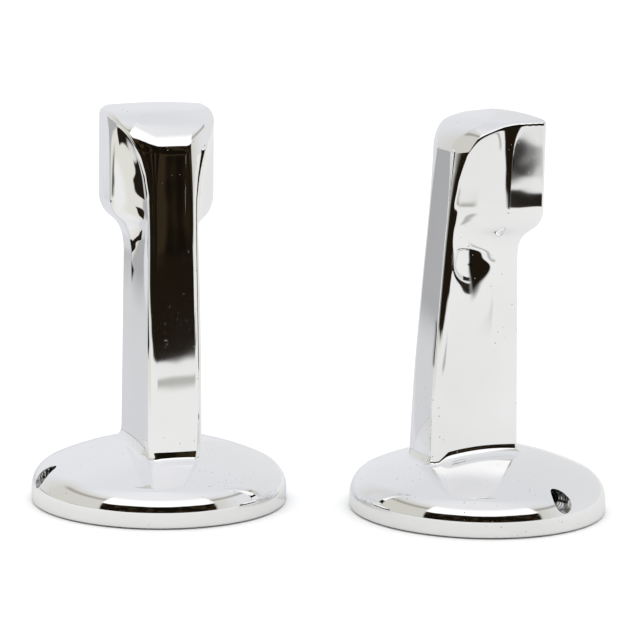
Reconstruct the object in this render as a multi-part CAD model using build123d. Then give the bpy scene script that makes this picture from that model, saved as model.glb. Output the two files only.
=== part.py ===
from build123d import *
import math
import os

# A pair of chrome-plated book ends, each a cast post on a round flange.
#
# Row frame: millimetres, +Z up. The origin lies on the shelf, midway between
# the centres of the two flanges, which are on the X axis.
#
# Each book end is modelled in its own frame first. There the post stands on
# the Z axis, its narrow front faces -Y and the broad flat back of its head,
# which the books lean on, faces +Y.
#
# The post is one hollow casting. It drops over a weighted base, and a socket
# set screw in the side of the flange holds it there. A felt pad is glued under
# the base.

# ---- driving dimensions ----------------------------------------------------

BASE_SPACING = 129.0          # between the two flange centres
LEFT_YAW = 20.5               # how far each book end is turned about Z, degrees
RIGHT_YAW = -61.0
LEFT_HOLE_ANGLE = -87.0       # set screw, from the front of the post, degrees
RIGHT_HOLE_ANGLE = 103.0

FLANGE_RADIUS = 51.6
RIM_GAP = 0.4                 # the chrome rim stays this far off the shelf
RIM_TOP = 5.5                 # end of the upright rim
SHOULDER_ROUND = 11.1         # radius of the rounded shoulder above the rim
SHOULDER_TURN = 65.3          # how far the shoulder bends before the dome, degrees

# the front face's place by height: it leans back, and is slightly bowed
FRONT_PROFILE = [
    (25, -27.4), (56, -26.1), (88, -23.9), (104, -22.7), (122, -21.2), (145, -19.6), (165, -18.4)
]
FRONT_HALF_WIDTH = 10.8
POST_REAR_HALF_WIDTH = 13.8
POST_REAR = 9.4
POST_REAR_LEAN = 0.03

HEAD_TOP_REAR = 160.4         # height of the head's upper rear edge
HEAD_TOP_SLOPE = 3.7          # the top falls towards the front, degrees
HEAD_BOTTOM = 121.0           # where the sides of the head start to turn in
HEAD_FRONT_HALF_WIDTH = 21.15
HEAD_FRONT = -2.5             # front edge of the broad part of the head
HEAD_REAR_HALF_WIDTH = 22.6
HEAD_REAR = 14.1
BROW_RADIUS = 13.0            # between the sloping top and the front face
HEAD_CORNER_RADIUS = 7.0      # along the two sides of the top

CAVITY_RADIUS = 48.2          # inside of the flange, around the base plate
LEDGE_HEIGHT = 5.05           # ledge that stands on the base plate
CAVITY_UPPER_RADIUS = 44.5
CAVITY_ROOF = 17.5
CORE_TOP = 112.0              # top of the hollow core in the post

THREAD_RADIUS = 3.97          # 5/16 in - 18 thread
SCREW_CLEARANCE = 0.05
SCREW_HEIGHT = 12.2
SCREW_OUTER_END = 43.1        # distance from the post's axis
SCREW_LENGTH = 7.9
SCREW_KEY = 3.97              # across the flats of the hexagon socket
SCREW_KEY_DEPTH = 3.9
BOSS_RADIUS = 7.0
BOSS_INNER_END = 37.0

PAD_THICKNESS = 2.0
PAD_RADIUS = 47.0
PLATE_THICKNESS = 3.0
PLATE_RADIUS = 47.9
WEIGHT_RADIUS = 35.0
WEIGHT_HEIGHT = 10.2
PLATE_SCREW_RADIUS = 2.5
PLATE_SCREW_HEAD = 4.6
PLATE_SCREW_LENGTH = 10.0
PLATE_SCREW_CIRCLE = 22.0
PLATE_SCREW_COUNT = 3
PLATE_SCREW_CLEARANCE = 0.03


# ---- helpers ---------------------------------------------------------------

def ramp(height, table):
    """Value at a height, from a short table of (height, value) pairs."""
    if height <= table[0][0]:
        return table[0][1]
    for (low, first), (high, second) in zip(table, table[1:]):
        if height <= high:
            share = (height - low) / (high - low)
            return first + share * (second - first)
    return table[-1][1]


def toward(start, end, distance):
    """The point at a distance from start on the way to end."""
    length = math.dist(start, end)
    share = min(distance / length, 0.48)
    return (
        start[0] + share * (end[0] - start[0]),
        start[1] + share * (end[1] - start[1]),
    )


def mirrored(point):
    return (-point[0], point[1])


# ---- the post --------------------------------------------------------------

def front_y(height):
    return ramp(height, FRONT_PROFILE)


def post_side_x(y, height):
    """Half width of the plain post at a distance along Y."""
    rear = post_rear_y(height)
    share = (y - front_y(height)) / (rear - front_y(height))
    return FRONT_HALF_WIDTH + share * (POST_REAR_HALF_WIDTH - FRONT_HALF_WIDTH)


def post_rear_y(height):
    return POST_REAR - POST_REAR_LEAN * (height - 60.0)


# share of the way from the plain post out to the full head, by height
SIDE_SPREAD = [(103, 0.0), (108.4, 0.07), (113.5, 0.30), (117, 0.78), (HEAD_BOTTOM + 1, 1.0)]
REAR_SPREAD = [(109, 0.0), (112, 0.10), (114.7, 0.42), (117.4, 0.84), (HEAD_BOTTOM, 1.0)]
# how far the front's corners stand out, and how far they are rounded back
FLARE = [(118, 0.0), (125, 0.3), (134, 1.2), (140, 2.2), (145, 3.2), (150, 4.2), (163, 6.6)]
ROUNDING = [(110, 2.6), (125, 3.4), (134, 4.8), (140, 6.2), (145, 8.0), (150, 10.5), (163, 13.0)]
# how far the scoop beside the front is hollowed, at its middle
HOLLOW = [(60, 0.0), (100, 0.6), (125, 1.6), (145, 0.8), (163, 0.2)]


def post_section(height):
    """Outline of the post and head at one height, as a face."""
    spread = ramp(height, SIDE_SPREAD)
    back = ramp(height, REAR_SPREAD)
    front = front_y(height)
    rear = post_rear_y(height)
    front_half = FRONT_HALF_WIDTH + ramp(height, FLARE)
    plain_side = post_side_x(HEAD_FRONT, height)

    corner = (front_half, front)
    shoulder = (plain_side + spread * (HEAD_FRONT_HALF_WIDTH - plain_side), HEAD_FRONT)
    heel = (
        POST_REAR_HALF_WIDTH + spread * (HEAD_REAR_HALF_WIDTH - POST_REAR_HALF_WIDTH),
        rear + back * (HEAD_REAR - rear),
    )

    rounding = ramp(height, ROUNDING)
    front_end = (front_half - rounding, front)
    scoop_start = toward(corner, shoulder, rounding)
    scoop_end = toward(shoulder, corner, 1.2)
    side_start = toward(shoulder, heel, 1.2)
    side_end = toward(heel, shoulder, 1.0)
    back_start = toward(heel, (0, heel[1]), 1.0)

    middle = (
        (scoop_start[0] + scoop_end[0]) / 2 - 2 * ramp(height, HOLLOW),
        (scoop_start[1] + scoop_end[1]) / 2,
    )

    edges = [Line(mirrored(front_end), front_end)]
    half = [
        (front_end, corner, scoop_start),
        (scoop_start, middle, scoop_end),
        (scoop_end, shoulder, side_start),
        (side_start, side_end),
        (side_end, heel, back_start),
    ]
    for points in half:
        edges.append(Bezier(*points) if len(points) == 3 else Line(*points))
    edges.append(Line(back_start, mirrored(back_start)))
    for points in reversed(half):
        flipped = [mirrored(point) for point in reversed(points)]
        edges.append(Bezier(*flipped) if len(flipped) == 3 else Line(*flipped))
    outline = Wire([edge.edges()[0] if not isinstance(edge, Edge) else edge for edge in edges])
    return Face(outline).moved(Location((0, 0, height)))


def post_and_head():
    """The leaning post with its broad head, before the top is trimmed."""
    heights = [15, 25, 56, 88, 104, 108, 111, 113, 115, 117, 119, 122, 128, 134, 140, 145, 150, 164]
    return Solid.make_loft([post_section(height).outer_wire() for height in heights], ruled=True)


def head_trim():
    """Everything above the sloping top and in front of the rounded brow."""
    slope = math.radians(HEAD_TOP_SLOPE)

    def top_z(y):
        return HEAD_TOP_REAR - (HEAD_REAR - y) * math.tan(slope)

    # The brow is an arc that touches the sloping top and just crosses the front.
    centre_y = front_y(HEAD_TOP_REAR - BROW_RADIUS) + BROW_RADIUS - 0.05
    top_y = centre_y - BROW_RADIUS * math.sin(slope)
    centre_z = top_z(top_y) - BROW_RADIUS * math.cos(slope)
    start = (centre_y - BROW_RADIUS, centre_z)
    bend = math.radians(180 - (90 + HEAD_TOP_SLOPE) / 2)
    middle = (centre_y + BROW_RADIUS * math.cos(bend), centre_z + BROW_RADIUS * math.sin(bend))
    end = (top_y, top_z(top_y))
    far = 60
    outline = Polyline(
        end, (HEAD_REAR + far, top_z(HEAD_REAR + far)), (HEAD_REAR + far, 230), (-far, 230),
        (-far, centre_z), start,
    )
    brow = ThreePointArc(start, middle, end)
    face = Face(Wire(outline.edges() + brow.edges()))
    side_view = Plane(origin=(0, 0, 0), x_dir=(0, 1, 0), z_dir=(1, 0, 0))
    return extrude(side_view * face, amount=40, both=True)


def head_corner_trim():
    """The two wedges outside the rounded upper corners of the head."""
    slope = math.radians(HEAD_TOP_SLOPE)
    view = Plane(
        origin=(0, HEAD_REAR, HEAD_TOP_REAR), x_dir=(1, 0, 0),
        z_dir=(0, -math.cos(slope), -math.sin(slope)),
    )
    half = HEAD_REAR_HALF_WIDTH
    radius = HEAD_CORNER_RADIUS
    trims = []
    for side in (-1, 1):
        corner = Polyline((side * (half - radius), 0), (side * (half - radius), 9),
                          (side * (half + 9), 9), (side * (half + 9), -radius), (side * half, -radius))
        low = radius * (1 - math.sqrt(0.5))
        arc = ThreePointArc(
            (side * half, -radius), (side * (half - low), -low), (side * (half - radius), 0)
        )
        trims.append(extrude(view * Face(Wire(corner.edges() + arc.edges())), amount=60, both=True))
    return trims[0] + trims[1]


def flange_outer():
    """The solid flange: upright rim, rounded shoulder and low dome."""
    turn = math.radians(SHOULDER_TURN)

    def on_shoulder(angle):
        inset = SHOULDER_ROUND * (1 - math.cos(angle))
        return (FLANGE_RADIUS - inset, RIM_TOP + SHOULDER_ROUND * math.sin(angle))

    shoulder_high = on_shoulder(turn)
    # the dome leaves the shoulder at the shoulder's slope and is level at the axis
    dome_centre = shoulder_high[1] + shoulder_high[0] / (2 * math.tan(turn))
    rim = Line((FLANGE_RADIUS, RIM_GAP), (FLANGE_RADIUS, RIM_TOP))
    shoulder = ThreePointArc(on_shoulder(0), on_shoulder(turn / 2), shoulder_high)
    dome = Bezier(shoulder_high, (shoulder_high[0] / 2, dome_centre), (0, dome_centre))
    close = Polyline((0, dome_centre), (0, RIM_GAP), (FLANGE_RADIUS, RIM_GAP))
    face = Face(Wire(rim.edges() + shoulder.edges() + dome.edges() + close.edges()))
    return revolve(Plane.XZ * face, Axis.Z)


def flange_cavity():
    """The hollow underside that drops over the base."""
    outline = Polyline(
        (0, RIM_GAP - 1), (CAVITY_RADIUS, RIM_GAP - 1), (CAVITY_RADIUS, LEDGE_HEIGHT),
        (CAVITY_UPPER_RADIUS, LEDGE_HEIGHT), (CAVITY_UPPER_RADIUS, 10.0), (37.5, CAVITY_ROOF),
        (0, CAVITY_ROOF), (0, RIM_GAP - 1),
    )
    return revolve(Plane.XZ * Face(Wire(outline.edges())), Axis.Z)


def post_core():
    """The tapering hollow in the post, open to the flange below."""
    low = Plane.XY.offset(CAVITY_ROOF - 0.5) * Pos(0, -8, 0) * RectangleRounded(17, 26, 4)
    high = Plane.XY.offset(CORE_TOP) * Pos(0, -6.5, 0) * RectangleRounded(14, 20, 4)
    return loft([low, high])


def screw_plane(angle):
    """A plane across the set screw's axis at the post's axis, looking outward."""
    turn = math.radians(angle - 90)
    outward = (math.cos(turn), math.sin(turn), 0)
    return Plane(origin=(0, 0, SCREW_HEIGHT), x_dir=(0, 0, 1), z_dir=outward)


def post(angle):
    """One casting: flange, post and head, with its core and screw hole."""
    body = post_and_head() - head_trim() - head_corner_trim()
    body = body + flange_outer()
    body = body - flange_cavity() - post_core()
    plane = screw_plane(angle)
    boss = extrude(plane.offset(BOSS_INNER_END) * Circle(BOSS_RADIUS), amount=12)
    hole = extrude(plane.offset(30) * Circle(THREAD_RADIUS + SCREW_CLEARANCE), amount=30)
    return body + (boss & flange_outer()) - hole


# ---- what is under and inside the flange -------------------------------------

def set_screw(angle):
    """Socket set screw with a cup point, in the side of the flange."""
    plane = screw_plane(angle)
    inner = SCREW_OUTER_END - SCREW_LENGTH
    shank = extrude(plane.offset(inner) * Circle(THREAD_RADIUS), amount=SCREW_LENGTH)
    shank = chamfer(shank.edges().filter_by(GeomType.CIRCLE), 0.9)
    socket = extrude(
        plane.offset(SCREW_OUTER_END - SCREW_KEY_DEPTH) * RegularPolygon(SCREW_KEY / math.sqrt(3), 6),
        amount=SCREW_KEY_DEPTH + 1,
    )
    cup_plane = plane.offset(inner)
    cup = loft([cup_plane * Circle(2.4), cup_plane.offset(1.4) * Circle(0.6)])
    return shank - socket - cup


def plate_screw_places():
    return PolarLocations(PLATE_SCREW_CIRCLE, PLATE_SCREW_COUNT, start_angle=90)


def plate_screw_blank(clearance):
    """A countersunk screw without its socket, head down, or the room for one."""
    head_low = Plane.XY.offset(PAD_THICKNESS)
    neck = head_low.offset(PLATE_SCREW_HEAD - PLATE_SCREW_RADIUS)
    head_radius = PLATE_SCREW_HEAD + clearance
    shank_radius = PLATE_SCREW_RADIUS + clearance
    head = loft([head_low * Circle(head_radius), neck * Circle(shank_radius)])
    rest = PLATE_SCREW_LENGTH - (PLATE_SCREW_HEAD - PLATE_SCREW_RADIUS) + clearance
    return head + extrude(neck * Circle(shank_radius), amount=rest)


def plate_screw():
    """Countersunk screw with a hexagon socket, head down."""
    socket = extrude(Plane.XY.offset(PAD_THICKNESS) * RegularPolygon(1.75, 6), amount=1.8)
    return plate_screw_blank(0) - socket


def disc(radius, low, thickness):
    return extrude(Plane.XY.offset(low) * Circle(radius), amount=thickness)


def base_plate():
    plate = disc(PLATE_RADIUS, PAD_THICKNESS, PLATE_THICKNESS)
    for place in plate_screw_places():
        plate = plate - place * plate_screw_blank(PLATE_SCREW_CLEARANCE)
    return plate


def base_weight():
    weight = disc(WEIGHT_RADIUS, PAD_THICKNESS + PLATE_THICKNESS, WEIGHT_HEIGHT)
    top_edge = weight.edges().group_by(Axis.Z)[-1]
    weight = chamfer(top_edge, 1.0)
    for place in plate_screw_places():
        weight = weight - place * plate_screw_blank(PLATE_SCREW_CLEARANCE)
    return weight


def plate_screws():
    return Compound([(place * plate_screw()).solid() for place in plate_screw_places()])


def felt_pad():
    return disc(PAD_RADIUS, 0, PAD_THICKNESS)


# ---- the two book ends -------------------------------------------------------

def book_end(side, centre_x, yaw, angle):
    """Every piece of one book end, by node name, in the row frame."""
    place = Location((centre_x, 0, 0), (0, 0, yaw))
    pieces = {
        "post": post(angle),
        "set_screw": set_screw(angle),
        "base_plate": base_plate(),
        "base_weight": base_weight(),
        "plate_screws": plate_screws(),
        "felt_pad": felt_pad(),
    }
    return {f"{side}_{name}": place * piece for name, piece in pieces.items()}


os.makedirs("parts", exist_ok=True)
left = book_end("left", -BASE_SPACING / 2, LEFT_YAW, LEFT_HOLE_ANGLE)
right = book_end("right", BASE_SPACING / 2, RIGHT_YAW, RIGHT_HOLE_ANGLE)
for node, piece in {**left, **right}.items():
    export_step(piece, f"parts/{node}.step")
    box = piece.bounding_box()
    print(node, "volume", round(piece.volume), "box", box.min, box.max)
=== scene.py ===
import math

import bpy
import numpy as np
from mathutils import Matrix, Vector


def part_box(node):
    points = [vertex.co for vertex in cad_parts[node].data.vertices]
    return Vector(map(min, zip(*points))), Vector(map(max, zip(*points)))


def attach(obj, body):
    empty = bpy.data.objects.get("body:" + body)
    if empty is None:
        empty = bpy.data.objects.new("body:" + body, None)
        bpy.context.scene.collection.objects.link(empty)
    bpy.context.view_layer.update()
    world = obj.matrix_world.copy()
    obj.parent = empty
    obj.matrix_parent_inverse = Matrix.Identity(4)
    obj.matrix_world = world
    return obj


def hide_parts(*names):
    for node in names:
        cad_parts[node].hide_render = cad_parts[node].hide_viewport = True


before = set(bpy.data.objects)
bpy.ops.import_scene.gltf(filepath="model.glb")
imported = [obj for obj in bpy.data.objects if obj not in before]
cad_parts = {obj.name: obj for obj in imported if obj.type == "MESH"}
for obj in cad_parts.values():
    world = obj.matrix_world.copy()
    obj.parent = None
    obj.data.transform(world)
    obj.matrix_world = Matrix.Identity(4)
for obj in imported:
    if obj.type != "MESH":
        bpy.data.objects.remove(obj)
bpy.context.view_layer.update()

MM = 0.001
DEG = math.pi / 180

# degrees: how far each book end is turned from facing -Y, and where its screw hole is, from its own front
LEFT_YAW, RIGHT_YAW = 20.5, -61.0
LEFT_HOLE_ANGLE, RIGHT_HOLE_ANGLE = -87.0, 103.0
# each casting was ground and buffed by hand: how far its top rolls over the sides, and the radius of its brow
LEFT_FINISH, RIGHT_FINISH = (1.1, 15.5), (2.3, 12.5)

# ---------------------------------------------------------------- casting shape (mm, front is -Y)

LOWEST, HIGHEST, HEIGHT_STEP = -5.0, 174.9, 0.1


def curve(points, soften):
    """A smooth function of height through these (height, value) points."""
    z = [p[0] for p in points]
    v = [p[1] for p in points]
    reach = 4 * soften
    grid = np.arange(LOWEST - reach, HIGHEST + reach, HEIGHT_STEP)
    values = np.interp(grid, z, v)
    low, high = grid < z[0], grid > z[-1]
    values[low] = v[0] + (grid[low] - z[0]) * (v[1] - v[0]) / (z[1] - z[0])
    values[high] = v[-1] + (grid[high] - z[-1]) * (v[-1] - v[-2]) / (z[-1] - z[-2])
    offsets = np.arange(-reach, reach + HEIGHT_STEP / 2, HEIGHT_STEP)
    weights = np.exp(-0.5 * (offsets / soften) ** 2)
    smooth = np.convolve(values, weights / weights.sum(), mode="same")
    return lambda h: np.interp(h, grid, smooth)


# the front face: its place, its half width, how far back the bevels beside it reach, and its edges' radius
front_y = curve([(25, -27.4), (56, -26.1), (88, -23.9), (104, -22.7), (122, -21.2), (145, -19.6),
                 (165, -18.4)], 5)
edge_x = curve([(20, 11.0), (60, 10.9), (90, 10.6), (110, 10.3), (125, 10.4), (134, 11.5), (140, 12.9),
                (145, 14.5), (150, 16.3), (155, 18.4), (165, 22.0)], 1.5)
edge_back = curve([(20, 2.4), (90, 2.2), (125, 1.9), (134, 2.1), (140, 2.4), (145, 2.7), (150, 3.0),
                   (155, 3.2), (165, 3.5)], 1.5)
edge_round = curve([(20, 0.8), (100, 0.9), (125, 1.2), (134, 2.2), (140, 3.5), (145, 5.0), (150, 6.0),
                    (165, 6.0)], 2)
# how far the sides and the back have gone from the column's (0) to the head's (1)
side_spread = curve([(98, 0.0), (103, 0.0), (108.4, 0.07), (113.5, 0.30), (117, 0.78), (122, 1.0),
                     (130, 1.0)], 1.2)
rear_spread = curve([(98, 0.0), (109, 0.0), (112, 0.10), (114.7, 0.42), (117.4, 0.84), (121, 1.0),
                     (130, 1.0)], 1.0)
# the scoop's depth, and the radius of the edge behind it
hollow = curve([(20, 0.02), (55, 0.02), (80, 0.25), (100, 0.8), (112, 2.0), (122, 2.6), (135, 1.9),
                (145, 1.0), (155, 0.3), (165, 0.1)], 3)
shoulder_round = curve([(90, 0.02), (100, 0.02), (110, 0.7), (120, 1.3), (160, 1.3)], 2)

# the column: its back at a height, and that face's lean; half widths at its front and back
COLUMN_REAR, COLUMN_REAR_LEAN, COLUMN_REAR_AT = 9.4, 0.03, 60
COLUMN_FRONT_HALF, COLUMN_REAR_HALF = 10.8, 13.8
# the head: where its flat sides begin and end, half widths there and at its top, and its top at the back
HEAD_FRONT, HEAD_REAR = -2.5, 14.1
HEAD_FRONT_HALF, HEAD_REAR_HALF, HEAD_HALF = 21.15, 22.6, 22.3
HEAD_TOP, HEAD_TOP_SLOPE = 160.4, 0.065
TOP_SCALE, BEVEL_SCALE = 0.996, 0.7071  # these make the slanting faces true distances
FRONT_CROWN, TOP_CROWN = 0.004, 0.002
FOOT_FLARE, FOOT_FLARE_TOP = 0.21, 25.4  # the front face flares out a little below this height
ROLL_ROUND, SCOOP_ROUND, REAR_ROUND = 5.0, 0.8, 1.6

FLANGE_RADIUS, RIM_GAP, RIM_ROUND = 51.6, 0.4, 0.7
RIM_TOP, SHOULDER_ROUND, SHOULDER_TURN = 5.5, 11.1, 65.3 * DEG
# the fillet round the foot, how much tighter it is under the front face, and where that face's foot is
FOOT_FILLET, FRONT_FILLET_LESS = 4.5, 3.1
FRONT_FOOT_Y, FRONT_FOOT_X, FOOT_FADE_Y, FOOT_FADE_X = 20, 13.5, 4, 2


def round_max(a, b, r):
    """Both shapes' common part, with the edge rounded."""
    return np.minimum(np.maximum(a, b), -r) + np.hypot(np.maximum(a + r, 0), np.maximum(b + r, 0))


def round_min(a, b, r):
    """Both shapes together, with a fillet between them."""
    return np.maximum(np.minimum(a, b), r) - np.hypot(np.maximum(r - a, 0), np.maximum(r - b, 0))


def rear_y(z):
    """The column's back."""
    return COLUMN_REAR - COLUMN_REAR_LEAN * (z - COLUMN_REAR_AT)


def shoulder_x(z):
    """Half width of the side at HEAD_FRONT, where the scoop ends."""
    share = (HEAD_FRONT - front_y(z)) / (rear_y(z) - front_y(z))
    plain = COLUMN_FRONT_HALF + (COLUMN_REAR_HALF - COLUMN_FRONT_HALF) * share
    return plain + side_spread(z) * (HEAD_FRONT_HALF - plain)


def heel(z):
    """Half width and depth of the rear corner."""
    return (COLUMN_REAR_HALF + side_spread(z) * (HEAD_REAR_HALF - COLUMN_REAR_HALF),
            rear_y(z) + rear_spread(z) * (HEAD_REAR - rear_y(z)))


def post(x, y, z, roll, brow):
    """Below zero inside the column and its head."""
    ax = np.abs(x)
    fy = front_y(z)
    ex, ey = edge_x(z), fy + edge_back(z)
    bx = shoulder_x(z)
    hx, hy = heel(z)
    flare = FOOT_FLARE * np.maximum(FOOT_FLARE_TOP - z, 0)
    front = fy - flare - y + FRONT_CROWN * x * x
    bevel = ((ax - ex) + (ey - y)) * BEVEL_SCALE
    top = (z - (HEAD_TOP - (HEAD_REAR - y) * HEAD_TOP_SLOPE) + TOP_CROWN * x * x) * TOP_SCALE
    hood = round_max(round_max(front, bevel, edge_round(z)), top, brow)
    hood = round_max(hood, ax - (HEAD_HALF + roll), ROLL_ROUND)
    # the scoop: an arc from the bevel to where the flat side begins
    dx, dy = bx - ex, HEAD_FRONT - ey
    chord = np.hypot(dx, dy)
    depth = hollow(z)
    radius = chord * chord / (8 * depth) + depth / 2
    nx, ny = dy / chord, -dx / chord
    reach = radius - depth
    cx, cy = (ex + bx) / 2 + nx * reach, (ey + HEAD_FRONT) / 2 + ny * reach
    scoop = radius - np.hypot(ax - cx, y - cy)
    # the flat side behind it
    sx, sy = hx - bx, hy - HEAD_FRONT
    side = ((ax - bx) * sy - (y - HEAD_FRONT) * sx) / np.hypot(sx, sy)
    sides = round_max(scoop, side, shoulder_round(z))
    body = round_max(hood, sides, SCOOP_ROUND)
    return round_max(body, y - hy, REAR_ROUND)


def flange(x, y, z):
    """Below zero inside the flange: an upright rim, a rounded shoulder and a shallow dome."""
    r = np.hypot(x, y)
    out, up = r - (FLANGE_RADIUS - SHOULDER_ROUND), z - RIM_TOP
    shoulder = np.hypot(out, up) - SHOULDER_ROUND
    turn = np.arctan2(up, out)
    fall = 1 / math.tan(SHOULDER_TURN)
    end_r = FLANGE_RADIUS - SHOULDER_ROUND * (1 - math.cos(SHOULDER_TURN))
    end_z = RIM_TOP + SHOULDER_ROUND * math.sin(SHOULDER_TURN)
    steep = fall / (2 * end_r)
    dome = (z - end_z - steep * (end_r * end_r - r * r)) / np.sqrt(1 + (2 * steep * r) ** 2)
    upper = np.where(turn < SHOULDER_TURN, shoulder, dome)
    return np.where(up <= 0, np.maximum(r - FLANGE_RADIUS, dome), upper)


def casting(x, y, z, finish):
    """Below zero inside the whole casting, as if it were solid."""
    tight = (np.clip((-y - FRONT_FOOT_Y) / FOOT_FADE_Y, 0, 1)
             * np.clip((FRONT_FOOT_X - np.abs(x)) / FOOT_FADE_X, 0, 1))
    both = round_min(post(x, y, z, *finish), flange(x, y, z), FOOT_FILLET - FRONT_FILLET_LESS * tight)
    return round_max(both, RIM_GAP - z, RIM_ROUND)


# ---------------------------------------------------------------- casting mesh

# the mesh's rows are cast as rays from inside: radius and height aimed at, height and depth of the point
# looked from, and rows up to the next
CAP_EYE, CAP_DEPTH = 143.0, -3.0
ROWS = [
    (49.6, 0.4, 1.3, 0.0, 5),
    (51.6, 1.7, 1.6, 0.0, 8),
    (51.6, 6.0, 3.0, 0.0, 26),
    (50.0, 11.9, 4.5, 0.0, 18),
    (44.5, 15.9, 6.5, -0.5, 16),
    (36.0, 19.6, 8.5, -2.0, 16),
    (28.0, 22.3, 11.0, -4.0, 22),
    (20.0, 24.4, 14.0, -6.0, 24),
    (14.5, 27.0, 20.0, -8.0, 14),
    (12.5, 34.0, 30.0, -8.0, 14),
    (12.0, 46.0, 45.0, -8.0, 16),
    (12.0, 66.0, 66.0, -8.0, 30),
    (12.0, 101.0, 101.0, -6.0, 44),
    (12.0, 123.0, 123.0, -3.5, 20),
    (12.0, 136.0, 136.0, -3.0, 12),
    (12.0, CAP_EYE, CAP_EYE, CAP_DEPTH, 0),
]
CAP_ROWS, CAP_SLOPE = 66, 89.3 * DEG  # the rows over the top, seen from its eye
SPANS = (34, 44, 34, 44)  # mesh columns from the front centre to the edge, shoulder, heel and rear centre
GATHER = 0.62  # how much the columns crowd towards the edges
EDGE_HEIGHTS = (24.0, 157.0, 0.2)  # from, to and step
ROW_PASSES, BEARING_PASSES = 12, 10  # of softening
RAY_NEAR, RAY_FAR, HALVINGS = 1.0, 80.0, 34
HOLE_RAY_NEAR, HOLE_RAY_FAR = 20.0, 60.0


def spread(n, start, end):
    """n + 1 places from 0 to 1, closer together at the ends asked for."""
    t = np.linspace(0, 1, n + 1)
    if start and end:
        return t - GATHER * np.sin(2 * np.pi * t) / (2 * np.pi)
    if end:
        return t + GATHER * np.sin(np.pi * t) / np.pi
    return t - GATHER * np.sin(np.pi * t) / np.pi


def even_out(keys, passes):
    """Soften the change from row to row, in place."""
    for _ in range(passes):
        keys[1:-1] = (keys[:-2] + 2 * keys[1:-1] + keys[2:]) / 4


def row_table():
    """(height, depth, slope) of each row's rays."""
    rows = []
    for a, b in zip(ROWS, ROWS[1:] + ROWS[-1:]):
        for k in range(max(a[4], 1)):
            t = k / max(a[4], 1)
            reach, high, eye, yc = [a[i] + (b[i] - a[i]) * t for i in range(4)]
            rows.append((eye, yc, math.atan2(high - eye, reach)))
    table = np.array(rows)
    even_out(table, ROW_PASSES)
    cap = np.array([(CAP_EYE, CAP_DEPTH, CAP_SLOPE * k / CAP_ROWS) for k in range(1, CAP_ROWS + 1)])
    return np.vstack([table, cap])


def bearings(rows):
    """Each row's ray directions round the axis, with columns of the mesh on the casting's edges."""
    z = np.arange(*EDGE_HEIGHTS)
    edges = [(edge_x(z), front_y(z) + edge_back(z)), (shoulder_x(z), z * 0 + HEAD_FRONT), heel(z)]
    anchors = np.zeros((len(rows), 3))
    for i, (eye, yc, slope) in enumerate(rows):
        for j, (lx, ly) in enumerate(edges):
            away = np.abs(np.arctan2(z - eye, np.hypot(lx, ly - yc)) - slope)
            k = int(np.argmin(away))
            anchors[i, j] = math.atan2(lx[k], -(ly[k] - yc))
    even_out(anchors, BEARING_PASSES)
    half = []
    stops = [np.zeros(len(rows)), *anchors.T, np.full(len(rows), np.pi)]
    for j, n in enumerate(SPANS):
        t = spread(n, j > 0, j < 3)
        part = stops[j][:, None] * (1 - t[None, :]) + stops[j + 1][:, None] * t[None, :]
        half.append(part if j == 3 else part[:, :-1])
    half = np.hstack(half)  # from the front centre, round by the right, to the rear centre
    return np.hstack([half[:, :-1], 2 * np.pi - half[:, :0:-1]])


def surface(ox, oy, oz, dx, dy, dz, near, far, finish):
    """Where rays from inside the casting come out of it."""
    lo = np.full(np.shape(dx), float(near))
    hi = np.full(np.shape(dx), float(far))
    for _ in range(HALVINGS):
        mid = (lo + hi) / 2
        inside = casting(ox + dx * mid, oy + dy * mid, oz + dz * mid, finish) < 0
        lo = np.where(inside, mid, lo)
        hi = np.where(inside, hi, mid)
    mid = (lo + hi) / 2
    return np.stack([ox + dx * mid, oy + dy * mid, oz + dz * mid], -1)


def outer_grid(finish):
    """The casting's outside, as rows of points from its foot to its top."""
    rows = row_table()
    az = bearings(rows)
    eye, yc, slope = rows[:, 0:1], rows[:, 1:2], rows[:, 2:3]
    dx, dy, dz = np.cos(slope) * np.sin(az), -np.cos(slope) * np.cos(az), np.sin(slope) + 0 * az
    return surface(0.0, yc + 0 * az, eye + 0 * az, dx, dy, dz, RAY_NEAR, RAY_FAR, finish)


# the screw hole and its thread, and the boss that it comes out of inside
HOLE_Z, HOLE_R, THREAD_PITCH, THREAD_DEPTH = 12.2, 3.97, 25.4 / 18, 0.62
CREST_GAIN, CREST_SPAN, ROOT_FLAT = 1.15, 0.875, 0.1
BOSS_FACE, BOSS_R, BOSS_SIDE = 37.0, 7.0, 0.2
MOUTH_WIDER, MOUTH_DROP, BORE_SLACK = 0.28, 0.3, 0.02
MOUTH_STEPS = (0.2, 0.4, 0.58, 0.74, 0.87, 0.95, 1.0)  # from the rim of the hole's block to its mouth
HOLE_RINGS, RING_GAP = 96, 0.003
THREAD_START, THREAD_END = 0.9, 0.6  # the lengths that the thread rises and falls in
BLOCK_BELOW, BLOCK_ABOVE, BLOCK_HALF = 5.6, 4.9, 6.0  # the part of the grid that the hole takes the place of

# the hollow underneath: a recess for the base plate, a wall that leans in above its bend, and a core
RECESS_R, RECESS_DEPTH, RECESS_TOP = 48.2, 4.65, 5.05
WALL_R, WALL_FOOT, WALL_TOP = 44.5, 6.4, 17.35
WALL_BEND, WALL_LEAN, WALL_RISE = 10, 7.0, 7.5
BOSS_HALF = 4.75
CORE_Y, CORE_TOP = -9.0, 112.0
CORE_WIDTH, CORE_NARROWS, CORE_LENGTH, CORE_SHORTENS, CORE_POWER = 8.5, 1.5, 13.0, 3.0, 6
CORE_LEVELS = ((0.0, 17.5), (0.0, 18.5), (0.35, 50.0), (0.7, 85.0), (1.0, CORE_TOP))
RIM_ROW, CORE_ROW = 20, 60  # rows of the grid whose bearings the wall and the core take
TINY = 1e-6


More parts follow.
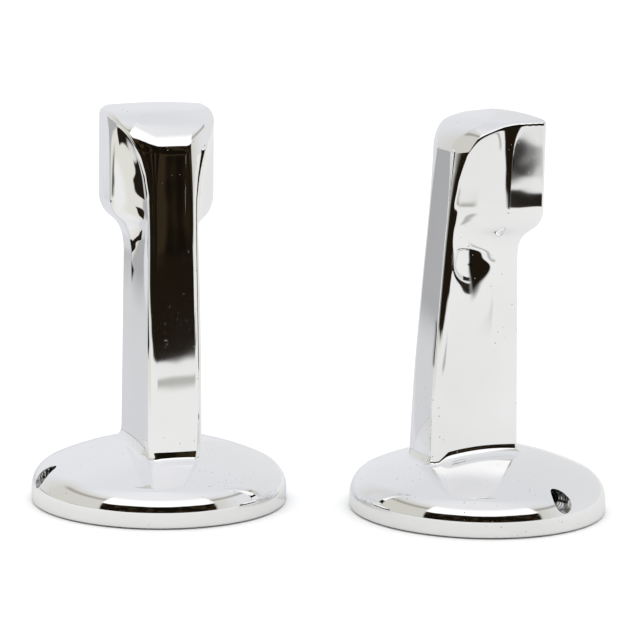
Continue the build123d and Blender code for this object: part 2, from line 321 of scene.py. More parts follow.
def thread(d, angle):
    """Height of the hole's helical thread, 0 to 1, at a distance and angle about the hole's axis."""
    phase = (d / THREAD_PITCH + angle / (2 * np.pi)) % 1.0
    return np.clip(CREST_GAIN * (1 - np.abs(2 * phase - 1)) / CREST_SPAN - ROOT_FLAT, 0, 1)


def pocket(az, t):
    """Radius of the casting's core, from its foot (0) to its top (1), in the direction az from its centre."""
    w, d = CORE_WIDTH - CORE_NARROWS * t, CORE_LENGTH - CORE_SHORTENS * t
    c, s = np.abs(np.cos(az)) / d, np.abs(np.sin(az)) / w
    return (c ** CORE_POWER + s ** CORE_POWER) ** (-1 / CORE_POWER)


class MeshBuilder:
    """Collects points and rings of quads into one mesh."""

    def __init__(self):
        self.points, self.quads, self.smooth, self.slots, self.count = [], [], [], [], 0

    def add(self, pts):
        """Add these points, and return their numbers."""
        pts = np.asarray(pts, float).reshape(-1, 3)
        ids = np.arange(self.count, self.count + len(pts))
        self.points.append(pts)
        self.count += len(pts)
        return ids

    def rings(self, ids, smooth=True, skip=None, slot=0):
        """Quads over closed rings of vertex numbers, with this material slot."""
        a, b = ids[:-1], ids[1:]
        q = np.stack([a, np.roll(a, -1, 1), np.roll(b, -1, 1), b], -1)
        if skip is not None:
            q = q[~skip[: q.shape[0], : q.shape[1]]]
        q = q.reshape(-1, 4)
        self.quads.append(q)
        self.smooth.append(np.full(len(q), smooth))
        self.slots.append(np.full(len(q), slot))

    def build(self, name, fans=()):
        """The object, with each fan's ring of points closed by triangles to its centre."""
        pts = np.vstack(self.points) * MM
        quads = np.vstack(self.quads)
        tris = [t for ring, centre in fans for t in
                np.stack([ring, np.roll(ring, -1), np.full(len(ring), centre)], -1)]
        tris = np.array(tris, int).reshape(-1, 3)
        loops = np.concatenate([quads.ravel(), tris.ravel()])
        starts = np.concatenate([np.arange(len(quads)) * 4, len(quads) * 4 + np.arange(len(tris)) * 3])
        smooth = np.concatenate(self.smooth + [np.ones(len(tris), bool)])
        slots = np.concatenate(self.slots + [np.zeros(len(tris), int)])
        mesh = bpy.data.meshes.new(name)
        mesh.vertices.add(len(pts))
        mesh.vertices.foreach_set("co", pts.astype(np.float32).ravel())
        mesh.loops.add(len(loops))
        mesh.loops.foreach_set("vertex_index", loops.astype(np.int32))
        mesh.polygons.add(len(starts))
        mesh.polygons.foreach_set("loop_start", starts.astype(np.int32))
        mesh.update(calc_edges=True)
        mesh.polygons.foreach_set("use_smooth", smooth)
        mesh.polygons.foreach_set("material_index", slots.astype(np.int32))
        mesh.validate()
        obj = bpy.data.objects.new(name, mesh)
        bpy.context.scene.collection.objects.link(obj)
        return obj


def loop_of(block):
    """The rim of a block of grid numbers, in order."""
    return np.concatenate([block[0, :-1], block[:-1, -1], block[-1, :0:-1], block[:0:-1, 0]])


def casting_piece(name, hole_angle, finish):
    """One chrome casting with its threaded hole and hollow underside."""
    m = MeshBuilder()
    grid = outer_grid(finish)
    rows, cols = grid.shape[:2]
    turn = math.radians(hole_angle - 90)
    ux, uy = math.cos(turn), math.sin(turn)  # outwards along the hole
    # start the columns half way round from the hole, so that the hole's block is in the middle
    ring = np.arctan2(grid[RIM_ROW, :, 1], grid[RIM_ROW, :, 0])
    away = np.angle(np.exp(1j * (ring - turn)))
    middle = cols // 2
    grid = np.roll(grid, middle - int(np.argmin(np.abs(away))), axis=1)
    sideways = -grid[..., 0] * uy + grid[..., 1] * ux
    level = grid[:, middle, 2]
    r0 = int(np.argmax(level > HOLE_Z - BLOCK_BELOW))
    r1 = int(np.argmax(level > HOLE_Z + BLOCK_ABOVE))
    across = np.abs(sideways[(r0 + r1) // 2])
    c0 = middle - int(np.argmax(across[middle::-1] > BLOCK_HALF))
    c1 = middle + int(np.argmax(across[middle:] > BLOCK_HALF))
    ids = m.add(grid).reshape(rows, cols)
    skip = np.zeros((rows, cols), bool)
    skip[r0:r1, c0:c1] = True
    m.rings(ids, skip=skip)
    cap = m.add([[0.0, grid[-1, :, 1].mean(), grid[-1, :, 2].mean()]])[0]
    fans = [(ids[-1], cap)]

    # inside: the recess's wall, the hollow's wall with the boss, and the core up the column
    az = np.arctan2(grid[RIM_ROW, :, 1], grid[RIM_ROW, :, 0])
    delta = np.abs(np.angle(np.exp(1j * (az - turn))))
    cos_d, sin_d = np.cos(delta), np.maximum(np.sin(delta), TINY)
    inner = [np.stack([RECESS_R * np.cos(az), RECESS_R * np.sin(az), np.full(cols, RIM_GAP)], -1)]
    inner.append(inner[0] + [0, 0, RECESS_DEPTH])
    behind_hole = np.linspace(HOLE_Z - BOSS_HALF, HOLE_Z + BOSS_HALF, r1 - r0 + 1)
    for z in np.concatenate([[RECESS_TOP, WALL_FOOT], behind_hole, [WALL_TOP]]):
        wall = np.where(z < WALL_BEND, WALL_R, WALL_R - WALL_LEAN * (z - WALL_BEND) / WALL_RISE)
        width = math.sqrt(max(BOSS_R ** 2 - (z - HOLE_Z) ** 2, 0.0))
        rho = np.minimum(wall, np.maximum(BOSS_FACE / np.maximum(cos_d, TINY), width / sin_d))
        rho = np.where(cos_d > BOSS_SIDE, rho, wall) if width > 0 else np.full(cols, wall)
        inner.append(np.stack([rho * np.cos(az), rho * np.sin(az), np.full(cols, z)], -1))
    direction = np.arctan2(-(grid[CORE_ROW, :, 1] - CORE_Y), grid[CORE_ROW, :, 0])
    core = np.stack([np.cos(direction), -np.sin(direction), 0 * direction], -1)
    for t, z in CORE_LEVELS:
        size = pocket(direction - np.pi / 2, t)[:, None]
        inner.append(core * size + [0, CORE_Y, z])
    inner = np.array(inner)
    inner_ids = m.add(inner).reshape(len(inner), cols)
    i0 = 4  # the first of the rings behind the hole
    i1 = i0 + (r1 - r0)
    flipped = inner_ids[::-1]
    flipped_skip = np.zeros(flipped.shape, bool)
    n = len(inner)
    flipped_skip[n - 1 - i1:n - 1 - i0, c0:c1] = True
    m.rings(flipped, smooth=False, skip=flipped_skip)
    m.rings(np.stack([inner_ids[0], ids[0]]), smooth=False)
    top = m.add([[0.0, CORE_Y, CORE_TOP]])[0]
    fans.append((inner_ids[-1][::-1], top))

    # the hole: rings from its block in the shoulder to its mouth, a threaded wall, and the boss's face
    rim = loop_of(ids[r0:r1 + 1, c0:c1 + 1])
    inner_rim = loop_of(inner_ids[i0:i1 + 1, c0:c1 + 1])
    pts = np.vstack(m.points)
    ra, rb = -pts[rim, 0] * uy + pts[rim, 1] * ux, pts[rim, 2] - HOLE_Z
    angle = np.arctan2(rb, ra)
    ca, cb = np.cos(angle), np.sin(angle)
    mouth = HOLE_R + MOUTH_WIDER
    loops = [rim]
    for t in MOUTH_STEPS:
        pa, pb = ra + (mouth * ca - ra) * t, rb + (mouth * cb - rb) * t
        far = surface(-uy * pa, ux * pa, pb + HOLE_Z, ux + 0 * pa, uy + 0 * pa, 0 * pa,
                      HOLE_RAY_NEAR, HOLE_RAY_FAR, finish)
        loops.append(m.add(far))
    depth = far[:, 0] * ux + far[:, 1] * uy
    # flat rings, so that they follow the thread; above the mouth they are gathered just inside it
    lip = depth - MOUTH_DROP
    for k, level in enumerate(np.linspace(depth.max() - MOUTH_DROP, BOSS_FACE, HOLE_RINGS + 1)[1:]):
        last = k == HOLE_RINGS - 1
        d = level + 0 * depth if last else np.minimum(level, lip - RING_GAP * (k + 1))
        start = np.clip((lip - d) / THREAD_START, 0, 1)
        end = np.clip((d - BOSS_FACE) / THREAD_END, 0, 1)
        r = HOLE_R + BORE_SLACK - THREAD_DEPTH * thread(d, angle) * start * end
        loops.append(m.add(np.stack([-uy * r * ca + ux * d, ux * r * ca + uy * d, r * cb + HOLE_Z], -1)))
    loops.append(inner_rim)
    in_the_mouth = len(MOUTH_STEPS)
    m.rings(np.array(loops[:in_the_mouth + 1]))
    # the threaded wall takes the second slot, whose dark colour is painted shade
    m.rings(np.array(loops[in_the_mouth:]), slot=1)
    return m.build(name, fans)


# ---------------------------------------------------------------- set screw and felt pad

SCREW_IN, SCREW_OUT, SCREW_SLACK, SCREW_CHAMFER = 35.2, 43.1, 0.12, 0.9
SCREW_COLUMNS, RINGS_PER_TURN = 72, 18
CUP_RINGS = ((0.6, 1.4), (2.1, 0.1), (2.3, 0.0), (2.8, 0.0))  # radius, and how deep in the point
CUP_DEPTH = 1.5
KEY_FLATS, KEY_DEPTH, KEY_CHAMFER = 3.97, 3.9, 0.16
END_FACE_R, DRILL_RINGS, DRILL_DEPTH = 2.75, ((1.9, 0.02), (0.3, 0.5)), 0.6

FELT_RADIUS, FELT_THICKNESS, FELT_EDGE = 47.0, 2.0, 0.75
FELT_COLUMNS = 240
FELT_RINGS = (6.0, 14.0, 22.0, 30.0, 37.0, 42.0, 45.0)
FELT_EDGE_TURNS = (0, 22, 45, 68, 90, 112, 135, 158, 180)
FELT_RAGGED = ((0.10, 23, 1.0), (0.07, 57, 0.0), (0.05, 101, 2.0))  # size, waves round the edge, and phase
FELT_TRIM, FELT_DIP = 0.24, 0.05


def set_screw_piece(name, hole_angle):
    """The socket set screw, with a thread that fits the casting's."""
    m = MeshBuilder()
    turn = math.radians(hole_angle - 90)
    ux, uy = math.cos(turn), math.sin(turn)
    angle = np.arange(SCREW_COLUMNS) * 2 * np.pi / SCREW_COLUMNS
    key = (KEY_FLATS / 2) / np.cos((angle + np.pi / 6) % (np.pi / 3) - np.pi / 6)
    crest = HOLE_R - SCREW_SLACK
    key_floor = SCREW_OUT - KEY_DEPTH

    def ring(r, d):
        r = r + 0 * angle
        return np.stack([-uy * r * np.cos(angle) + ux * d, ux * r * np.cos(angle) + uy * d,
                         r * np.sin(angle) + HOLE_Z], -1)

    cup = [ring(r, SCREW_IN + deep) for r, deep in CUP_RINGS]
    shank = []
    count = round((SCREW_OUT - SCREW_IN) / THREAD_PITCH * RINGS_PER_TURN)
    for d in np.linspace(SCREW_IN, SCREW_OUT, count + 1):
        limit = crest - max(SCREW_CHAMFER - (d - SCREW_IN), SCREW_CHAMFER - (SCREW_OUT - d), 0)
        shank.append(ring(np.minimum(crest - THREAD_DEPTH * thread(d, angle), limit), d))
    socket = [ring(END_FACE_R, SCREW_OUT), ring(key + KEY_CHAMFER, SCREW_OUT),
              ring(key, SCREW_OUT - KEY_CHAMFER), ring(key, key_floor)]
    socket += [ring(r, key_floor - deep) for r, deep in DRILL_RINGS]
    ids = m.add(np.array(cup + shank + socket)).reshape(-1, SCREW_COLUMNS)
    m.rings(ids[:len(cup)], smooth=False)
    m.rings(ids[len(cup) - 1:len(cup) + len(shank) + 1])
    m.rings(ids[len(cup) + len(shank):], smooth=False)
    inner, outer = SCREW_IN + CUP_DEPTH, key_floor - DRILL_DEPTH
    low = m.add([[ux * inner, uy * inner, HOLE_Z]])[0]
    high = m.add([[ux * outer, uy * outer, HOLE_Z]])[0]
    return m.build(name, [(ids[0][::-1], low), (ids[-1], high)])


def felt_piece(name):
    """The felt pad: a cut disc with a soft, slightly ragged edge and an underside that is not quite flat."""
    m = MeshBuilder()
    angle = np.arange(FELT_COLUMNS) * 2 * np.pi / FELT_COLUMNS
    ragged = sum(size * np.sin(waves * angle + phase) for size, waves, phase in FELT_RAGGED) - FELT_TRIM
    rings = []  # (radius, how far the ragged edge shows, height)
    for r in FELT_RINGS:
        rings.append((r, 0.0, FELT_DIP * (1 + np.sin(5 * angle + r) * np.sin(0.37 * r))))
    for t in np.radians(FELT_EDGE_TURNS):
        # the cut edge bulges between its two faces
        rings.append((FELT_RADIUS - FELT_EDGE + FELT_EDGE * math.sin(t), 1.0,
                      FELT_THICKNESS / 2 * (1 - math.cos(t)) + 0 * angle))
    for r in reversed(FELT_RINGS):
        rings.append((r, 0.0, FELT_THICKNESS + 0 * angle))
    pts = [np.stack([(r + k * ragged) * np.cos(angle), (r + k * ragged) * np.sin(angle), z], -1)
           for r, k, z in rings]
    ids = m.add(np.array(pts)).reshape(-1, FELT_COLUMNS)
    m.rings(ids)
    low = m.add([[0, 0, FELT_DIP]])[0]
    high = m.add([[0, 0, FELT_THICKNESS]])[0]
    return m.build(name, [(ids[0][::-1], low), (ids[-1], high)])


def place(obj, side, yaw):
    """Move a piece to its book end's place and turn it, in its own mesh."""
    low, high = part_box(side + "_base_plate")
    obj.data.transform(Matrix.Translation(((low.x + high.x) / 2, (low.y + high.y) / 2, 0))
                       @ Matrix.Rotation(math.radians(yaw), 4, "Z"))


# ---------------------------------------------------------------- materials

class Nodes:
    """Short ways to build a node tree."""

    def __init__(self, tree):
        self.nodes, self.links = tree.nodes, tree.links

    def put(self, socket, value):
        """Link a node's output to this socket, or set a plain value on it."""
        if hasattr(value, "is_linked"):
            self.links.new(value, socket)
        else:
            socket.default_value = value

    def math(self, op, a, b=None):
        n = self.nodes.new("ShaderNodeMath")
        n.operation = op
        self.put(n.inputs[0], a)
        if b is not None:
            self.put(n.inputs[1], b)
        return n.outputs[0]

    def plus(self, a, b):
        return self.math("ADD", a, b)

    def times(self, a, b):
        return self.math("MULTIPLY", a, b)

    def step(self, value, low, high, start=0.0, end=1.0):
        """start below low, end above high, and a smooth change between."""
        n = self.nodes.new("ShaderNodeMapRange")
        n.interpolation_type = "SMOOTHSTEP"
        self.put(n.inputs["Value"], value)
        for key, v in (("From Min", low), ("From Max", high), ("To Min", start), ("To Max", end)):
            n.inputs[key].default_value = v
        return n.outputs["Result"]

    def fade(self, value, low, high):
        """1 below low and 0 above high."""
        return self.step(value, low, high, 1.0, 0.0)

    def between(self, value, rise, fall, unit=1.0):
        """0 to 1 over rise, and 1 to 0 over fall, both a (low, high) in these units."""
        return self.times(self.step(value, rise[0] * unit, rise[1] * unit),
                          self.fade(value, fall[0] * unit, fall[1] * unit))

    def mix(self, fac, a, b):
        n = self.nodes.new("ShaderNodeMix")
        n.data_type = "RGBA"
        self.put(n.inputs[0], fac)
        self.put(n.inputs[6], (*a, 1) if isinstance(a, tuple) else a)
        self.put(n.inputs[7], (*b, 1) if isinstance(b, tuple) else b)
        return n.outputs[2]

    def polar(self, vector):
        """Bearing about the upright axis, from -Y and positive towards +X, and the vector's parts."""
        split = self.nodes.new("ShaderNodeSeparateXYZ")
        self.links.new(vector, split.inputs[0])
        x, y, z = split.outputs
        return self.math("ARCTAN2", x, self.times(y, -1.0)), (x, y, z)

    def noise(self, vector, scale, detail=2.0, rough=0.5):
        n = self.nodes.new("ShaderNodeTexNoise")
        self.links.new(vector, n.inputs["Vector"])
        n.inputs["Scale"].default_value = scale
        n.inputs["Detail"].default_value = detail
        n.inputs["Roughness"].default_value = rough
        return n.outputs["Fac"]

    def object_place(self):
        return self.nodes.new("ShaderNodeTexCoord").outputs["Object"]

    def cells(self, vector, scale):
        """Distance to the nearest of many scattered points."""
        n = self.nodes.new("ShaderNodeTexVoronoi")
        self.links.new(vector, n.inputs["Vector"])
        n.inputs["Scale"].default_value = scale
        return n.outputs["Distance"]

    def stretched(self, vector, scale, turn):
        n = self.nodes.new("ShaderNodeMapping")
        self.links.new(vector, n.inputs["Vector"])
        n.inputs["Scale"].default_value = scale
        n.inputs["Rotation"].default_value = (turn, turn / 2, turn)
        return n.outputs["Vector"]

    def bump(self, height, depth, under=None):
        """A normal from a height of 0 to 1, this many metres deep."""
        n = self.nodes.new("ShaderNodeBump")
        n.inputs["Distance"].default_value = depth
        self.links.new(height, n.inputs["Height"])
        if under is not None:
            self.links.new(under, n.inputs["Normal"])
        return n.outputs["Normal"]


def new_material(name, color, rough, metallic=0.0):
    """A Principled material, the short ways to its nodes, and its shader."""
    mat = bpy.data.materials.new(name)
    mat.use_nodes = True
    shader = mat.node_tree.nodes["Principled BSDF"]
    shader.inputs["Base Color"].default_value = (*color, 1)
    shader.inputs["Roughness"].default_value = rough
    shader.inputs["Metallic"].default_value = metallic
    return mat, Nodes(mat.node_tree), shader

# chrome: a buffed mirror, faintly wavy, with tiny pits and specks and the odd hairline scratch
CHROME, FILMED_CHROME, PIT = (0.955, 0.955, 0.96), (0.90, 0.90, 0.90), (0.16, 0.15, 0.14)
chrome, kit, shader = new_material("chrome_plate", (0.9, 0.9, 0.905), rough=0.03, metallic=1.0)
where = kit.object_place()
specks = kit.fade(kit.cells(where, scale=420.0), 0.05, 0.11)
sparse = kit.step(kit.noise(where, scale=38.0, detail=2.0), 0.50, 0.60)
specks = kit.times(specks, sparse)
lengthwise = kit.stretched(where, scale=(900.0, 60.0, 25.0), turn=0.6)
scratched = kit.step(kit.noise(lengthwise, scale=1.0, detail=3.0), 0.70, 0.74)
hairlines = kit.times(scratched, kit.step(kit.noise(where, scale=22.0), 0.50, 0.62))
film = kit.noise(where, scale=16.0, detail=4.0)
tint = kit.mix(kit.step(film, 0.35, 0.7), CHROME, FILMED_CHROME)
kit.put(shader.inputs["Base Color"], kit.mix(specks, tint, PIT))
haze = kit.step(film, 0.35, 0.75, start=0.018, end=0.05)
haze = kit.plus(haze, kit.times(kit.plus(specks, hairlines), 0.16))
kit.put(shader.inputs["Roughness"], haze)
waves = kit.bump(kit.noise(where, scale=55.0, detail=1.0), depth=0.00007)
marks = kit.math("SUBTRACT", kit.times(hairlines, -0.4), specks)
kit.put(shader.inputs["Normal"], kit.bump(marks, depth=0.00002, under=waves))

# inside the screw hole, where little chrome reaches: the cut thread's colour is darkened as painted shade for
# the deep recess, and oil mottles it
SHADED_CUT_STEEL, SHADED_OILED_STEEL = (0.50, 0.50, 0.50), (0.14, 0.135, 0.125)
shaded_thread, kit, shader = new_material("cut_thread_shaded", (0.2, 0.2, 0.2), rough=0.25, metallic=1.0)
where = kit.object_place()
oil = kit.step(kit.noise(where, scale=260.0, detail=2.0), 0.46, 0.60)
kit.put(shader.inputs["Base Color"], kit.mix(oil, SHADED_CUT_STEEL, SHADED_OILED_STEEL))
kit.put(shader.inputs["Roughness"], kit.step(oil, 0.0, 1.0, start=0.10, end=0.25))
kit.put(shader.inputs["Normal"], kit.bump(kit.noise(where, scale=1500.0, detail=3.0), depth=0.000006))

# black oxide on the set screws and the plate screws, rubbed in places
OXIDE, RUBBED_OXIDE = (0.022, 0.022, 0.025), (0.13, 0.125, 0.12)
oxide, kit, shader = new_material("black_oxide", (0.03, 0.03, 0.033), rough=0.35, metallic=0.85)
where = kit.object_place()
rubbed = kit.step(kit.noise(where, scale=600.0, detail=4.0, rough=0.65), 0.52, 0.70)
kit.put(shader.inputs["Base Color"], kit.mix(rubbed, OXIDE, RUBBED_OXIDE))
kit.put(shader.inputs["Roughness"], kit.step(rubbed, 0.0, 1.0, start=0.42, end=0.24))
kit.put(shader.inputs["Normal"], kit.bump(kit.noise(where, scale=2400.0, detail=3.0), depth=0.00004))

# bright zinc plate on the turned base plate: rings from the lathe under a cloudy grain
DULL_ZINC, BRIGHT_ZINC = (0.47, 0.48, 0.50), (0.64, 0.65, 0.67)
zinc, kit, shader = new_material("zinc_plate", (0.55, 0.56, 0.58), rough=0.3, metallic=1.0)
where = kit.object_place()
cloud = kit.noise(where, scale=140.0, detail=5.0, rough=0.6)
kit.put(shader.inputs["Base Color"], kit.mix(kit.step(cloud, 0.3, 0.7), DULL_ZINC, BRIGHT_ZINC))
kit.put(shader.inputs["Roughness"], kit.step(cloud, 0.3, 0.7, start=0.24, end=0.42))
turned = kit.noise(kit.stretched(where, scale=(60.0, 60.0, 3000.0), turn=0.0), scale=1.0, detail=2.0)
kit.put(shader.inputs["Normal"], kit.bump(turned, depth=0.00003, under=kit.bump(cloud, depth=0.00004)))

# sand-cast iron, oiled
DARK_IRON, PALE_IRON = (0.10, 0.095, 0.09), (0.22, 0.22, 0.225)
iron, kit, shader = new_material("cast_iron", (0.16, 0.16, 0.17), rough=0.55, metallic=0.7)
where = kit.object_place()
grit = kit.noise(where, scale=900.0, detail=6.0, rough=0.7)
lumps = kit.noise(where, scale=160.0, detail=3.0)
kit.put(shader.inputs["Base Color"], kit.mix(kit.step(grit, 0.3, 0.7), DARK_IRON, PALE_IRON))
kit.put(shader.inputs["Roughness"], kit.step(lumps, 0.3, 0.7, start=0.42, end=0.7))
kit.put(shader.inputs["Normal"], kit.bump(grit, depth=0.00025, under=kit.bump(lumps, depth=0.0004)))

# dense wool felt: matted fibres with a few lighter hairs
DARK_WOOL, PALE_WOOL, HAIR = (0.032, 0.035, 0.039), (0.075, 0.08, 0.088), (0.17, 0.175, 0.19)
felt, kit, shader = new_material("wool_felt", (0.05, 0.055, 0.06), rough=0.95)
where = kit.object_place()
matted = kit.noise(where, scale=420.0, detail=6.0, rough=0.75)
lengthwise = kit.stretched(where, scale=(2600.0, 420.0, 1500.0), turn=0.7)
fibres = kit.noise(lengthwise, scale=1.0, detail=4.0, rough=0.7)
wool = kit.mix(kit.step(matted, 0.3, 0.7), DARK_WOOL, PALE_WOOL)
kit.put(shader.inputs["Base Color"], kit.mix(kit.step(fibres, 0.60, 0.74, start=0.0, end=0.6), wool, HAIR))
shader.inputs["Sheen Weight"].default_value = 0.5
shader.inputs["Sheen Roughness"].default_value = 0.6
kit.put(shader.inputs["Normal"], kit.bump(fibres, depth=0.0003, under=kit.bump(matted, depth=0.0006)))

# ---------------------------------------------------------------- pieces

for side, yaw, hole, finish in (("left", LEFT_YAW, LEFT_HOLE_ANGLE, LEFT_FINISH),
                                ("right", RIGHT_YAW, RIGHT_HOLE_ANGLE, RIGHT_FINISH)):
    made = [
        (casting_piece(side + "_casting", hole, finish), "_upper", "_post", "chrome_plate", chrome),
        (set_screw_piece(side + "_set_screw_threaded", hole), "_lock", "_set_screw", "screw_steel", oxide),
        (felt_piece(side + "_felt"), "_base", "_felt_pad", "felt", felt),
    ]
    for obj, body, node, slot_name, mat in made:
        place(obj, side, yaw)
        obj.data.materials.append(mat)
        if mat is chrome:
            obj.data.materials.append(shaded_thread)
        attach(obj, side + body)
        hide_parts(side + node)
    for node, mat in (("_base_plate", zinc), ("_base_weight", iron), ("_plate_screws", oxide)):
        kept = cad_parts[side + node]
        kept.data.materials.clear()
        kept.data.materials.append(mat)

# ---------------------------------------------------------------- studio (metres, bearings in degrees)

FLOOR_HALF, MIRROR_LIFT = 12, 0.0002
WHITE = (1.0, 1.0, 1.0)


def floor_sheet(name, color):
    """A square floor with a material of its own, and the short ways to its nodes."""
    mat, nodes, principled = new_material(name, color, rough=0.7)
    principled.inputs["Specular IOR Level"].default_value = 0.0
    s = FLOOR_HALF
    mesh = bpy.data.meshes.new(name)
    mesh.from_pydata([(-s, -s, 0), (s, -s, 0), (s, s, 0), (-s, s, 0)], [], [(0, 1, 2, 3)])
    mesh.materials.append(mat)
    obj = bpy.data.objects.new(name, mesh)
    bpy.context.scene.collection.objects.link(obj)
    return obj, nodes, principled


# the floor that the camera sees, which is plain
floor, kit, shader = floor_sheet("floor", (0.97, 0.97, 0.97))
floor.visible_glossy = False

# the floor that the chrome mirrors: a pale sheet that ends in a dim room in front, with painted shade in
# places
SHEET, SHEET_LEFT, SHEET_WALL = (0.715, 0.715, 0.70), (0.63, 0.635, 0.65), (0.64, 0.63, 0.575)
REAR_NEAR_SHADE, REAR_FAR_SHADE = (0.56, 0.565, 0.575), (0.36, 0.36, 0.365)
DARK_THING, CREASE_SHADOW = (0.012, 0.009, 0.006), (0.30, 0.30, 0.27)
PAINTED_EDGE_SHADE, UNLIT_ROOM_SHADE = (0.012, 0.010, 0.008), (0.010, 0.007, 0.004)
mirror_floor, kit, shader = floor_sheet("floor_mirrored", (0.8, 0.8, 0.8))
mirror_floor.location.z = MIRROR_LIFT
mirror_floor.visible_camera = False
mirror_floor.visible_diffuse = False
mirror_floor.visible_shadow = False
mirror_floor.visible_transmission = False
where = kit.object_place()
bearing, (x, y, _) = kit.polar(where)
away = kit.math("SQRT", kit.plus(kit.times(x, x), kit.times(y, y)))
ragged = kit.plus(away, kit.times(kit.noise(where, scale=3.0), 0.25))
ground = kit.mix(kit.fade(bearing, -115 * DEG, -85 * DEG), SHEET, SHEET_LEFT)
wall = kit.between(bearing, (-118, -112), (-70, -55), DEG)
ground = kit.mix(kit.times(wall, kit.step(away, 0.25, 0.40)), ground, SHEET_WALL)
# painted shade: the floor to the left and behind is greyer, and darker further off where the light falls off
left_rear_shade = kit.between(bearing, (-132.5, -130), (-112, -104), DEG)
ground = kit.mix(left_rear_shade, ground, kit.mix(kit.step(away, 0.5, 0.8), REAR_NEAR_SHADE, REAR_FAR_SHADE))
# a dark object to the left: distances of its near and far edges, how they change with the bearing (per
# radian, past a turn), and how ragged the near one is
NEAR_EDGE, NEAR_SLANT, NEAR_TURN, NEAR_RAGGED = 0.42, 0.475, 101 * DEG, 0.03
FAR_EDGE, FAR_SLANT, FAR_TURN = 0.62, -0.26, 94 * DEG
nearest = kit.math("MAXIMUM", kit.plus(bearing, NEAR_TURN), 0.0)
nearest = kit.plus(kit.times(nearest, NEAR_SLANT), NEAR_EDGE)
nearest = kit.plus(nearest, kit.times(kit.noise(where, scale=30.0, detail=3.0), NEAR_RAGGED))
furthest = kit.plus(kit.times(kit.plus(bearing, FAR_TURN), FAR_SLANT), FAR_EDGE)
thing = kit.times(kit.step(kit.math("SUBTRACT", away, nearest), -0.01, 0.02),
                  kit.fade(kit.math("SUBTRACT", away, furthest), -0.02, 0.01))
thing = kit.times(thing, kit.between(bearing, (-117, -114), (-80, -74), DEG))
ground = kit.mix(thing, ground, DARK_THING)
# a faint painted shadow line along a crease in the sheet, in front, to the right
crease_shadow = kit.times(kit.between(away, (0.40, 0.49), (0.52, 0.60)), kit.between(bearing, (5, 20), (38, 50), DEG))
ground = kit.mix(kit.times(crease_shadow, 0.75), ground, CREASE_SHADOW)
# to the right of the dark room: painted shade in a band at a table's edge, and patchy painted shadow beyond
# it
beside = kit.between(bearing, (45, 48), (62, 70), DEG)
edge = kit.between(away, (0.935, 0.945), (1.055, 1.07))
shadow_stripes = kit.between(ragged, (1.24, 1.30), (1.46, 1.52))
shadow_stripes = kit.times(shadow_stripes, kit.step(bearing, 51.3 * DEG, 51.9 * DEG, start=1.0, end=0.25))
ground = kit.mix(kit.times(kit.math("MAXIMUM", edge, shadow_stripes), beside), ground, PAINTED_EDGE_SHADE)
# painted shade: the dim, unlit room in front, where the light has fallen off beyond the sheet
end = kit.times(kit.step(ragged, 0.95, 1.12), kit.between(bearing, (-95, -70), (45, 48), DEG))
kit.put(shader.inputs["Base Color"], kit.mix(end, ground, UNLIT_ROOM_SHADE))

# one broad light from above, which the chrome does not mirror
LIGHT_SPREAD, LIGHT_STRENGTH, LIGHT_HEIGHT = 100 * DEG, 1.35, 2.4
lamp_data = bpy.data.lights.new("overhead", "SUN")
lamp_data.angle, lamp_data.energy = LIGHT_SPREAD, LIGHT_STRENGTH
lamp = bpy.data.objects.new("overhead", lamp_data)
bpy.context.scene.collection.objects.link(lamp)
lamp.location = (0, 0, LIGHT_HEIGHT)
lamp.visible_glossy = False

# the room round it: pale sides, a dim band on them, a dark room in front and a bright glow above that
SIDE_WARM, SIDE_COOL, SIDE_RIGHT = (0.66, 0.65, 0.60), (0.80, 0.81, 0.84), (0.78, 0.785, 0.80)
DIM_BAND = (0.30, 0.28, 0.25)
HIGH_FRONT, HIGH_BACK, GLOW = (0.86, 0.86, 0.88), (0.76, 0.775, 0.80), (1.12, 1.12, 1.12)
ROOM_BLACK, ROOM_BROWN = (0.007, 0.005, 0.003), (0.030, 0.021, 0.011)
world = bpy.data.worlds.new("studio")
bpy.context.scene.world = world
bpy.context.scene.view_settings.view_transform = "Standard"
world.use_nodes = True
background = world.node_tree.nodes["Background"]
kit = Nodes(world.node_tree)
direction = kit.nodes.new("ShaderNodeTexCoord").outputs["Generated"]
bearing, (_, _, z) = kit.polar(direction)
rise = kit.math("ARCSINE", z)
turn = kit.math("ABSOLUTE", bearing)
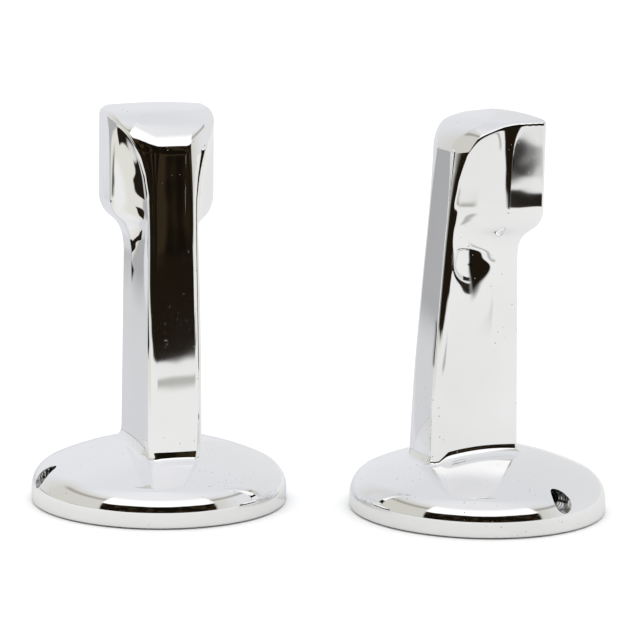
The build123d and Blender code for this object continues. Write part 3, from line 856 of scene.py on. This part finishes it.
low_sides = kit.mix(kit.step(turn, 100 * DEG, 150 * DEG), SIDE_WARM, SIDE_COOL)
low_sides = kit.mix(kit.step(bearing, 55 * DEG, 90 * DEG), low_sides, SIDE_RIGHT)
band = kit.between(rise, (30, 35), (36, 42), DEG)
band = kit.times(band, kit.step(turn, 100 * DEG, 115 * DEG, start=0.75, end=0.0))
low_sides = kit.mix(band, low_sides, DIM_BAND)
high = kit.mix(kit.step(turn, 30 * DEG, 120 * DEG), HIGH_FRONT, HIGH_BACK)
sides = kit.mix(kit.step(rise, 36 * DEG, 56 * DEG), low_sides, high)
glow = kit.mix(kit.step(rise, 42 * DEG, 54 * DEG), GLOW, high)
ahead = kit.between(bearing, (-50, -47), (57, 61), DEG)
room = kit.mix(ahead, sides, glow)
patches = kit.mix(kit.step(kit.noise(direction, scale=7.0, detail=1.0), 0.50, 0.62), ROOM_BLACK, ROOM_BROWN)
dark_top = kit.plus(rise, kit.times(kit.noise(direction, scale=2.5), 5 * DEG))
room = kit.mix(kit.times(ahead, kit.fade(dark_top, 26 * DEG, 28 * DEG)), room, patches)
path = kit.nodes.new("ShaderNodeLightPath")
kit.links.new(kit.mix(path.outputs["Is Camera Ray"], room, WHITE), background.inputs["Color"])
background.inputs["Strength"].default_value = 1.0

# the photograph's viewing angle
CAMERA_PLACE = (0.0500, -1.1167, 0.2784)
CAMERA_HEADING, CAMERA_PITCH, CAMERA_ROLL = math.atan2(0.045, 0.999), math.radians(10.294), math.radians(1.0)
SENSOR_WIDTH, LENS = 36, 159.440625
cam_data = bpy.data.cameras.new("camera")
cam = bpy.data.objects.new("camera", cam_data)
bpy.context.scene.collection.objects.link(cam)
bpy.context.scene.camera = cam
cam_data.sensor_width = SENSOR_WIDTH
cam_data.lens = LENS
cam.location = CAMERA_PLACE
cam.rotation_euler = (Matrix.Rotation(CAMERA_HEADING, 3, "Z")
                      @ Matrix.Rotation(math.pi / 2 - CAMERA_PITCH, 3, "X")
                      @ Matrix.Rotation(CAMERA_ROLL, 3, "Z")).to_euler()
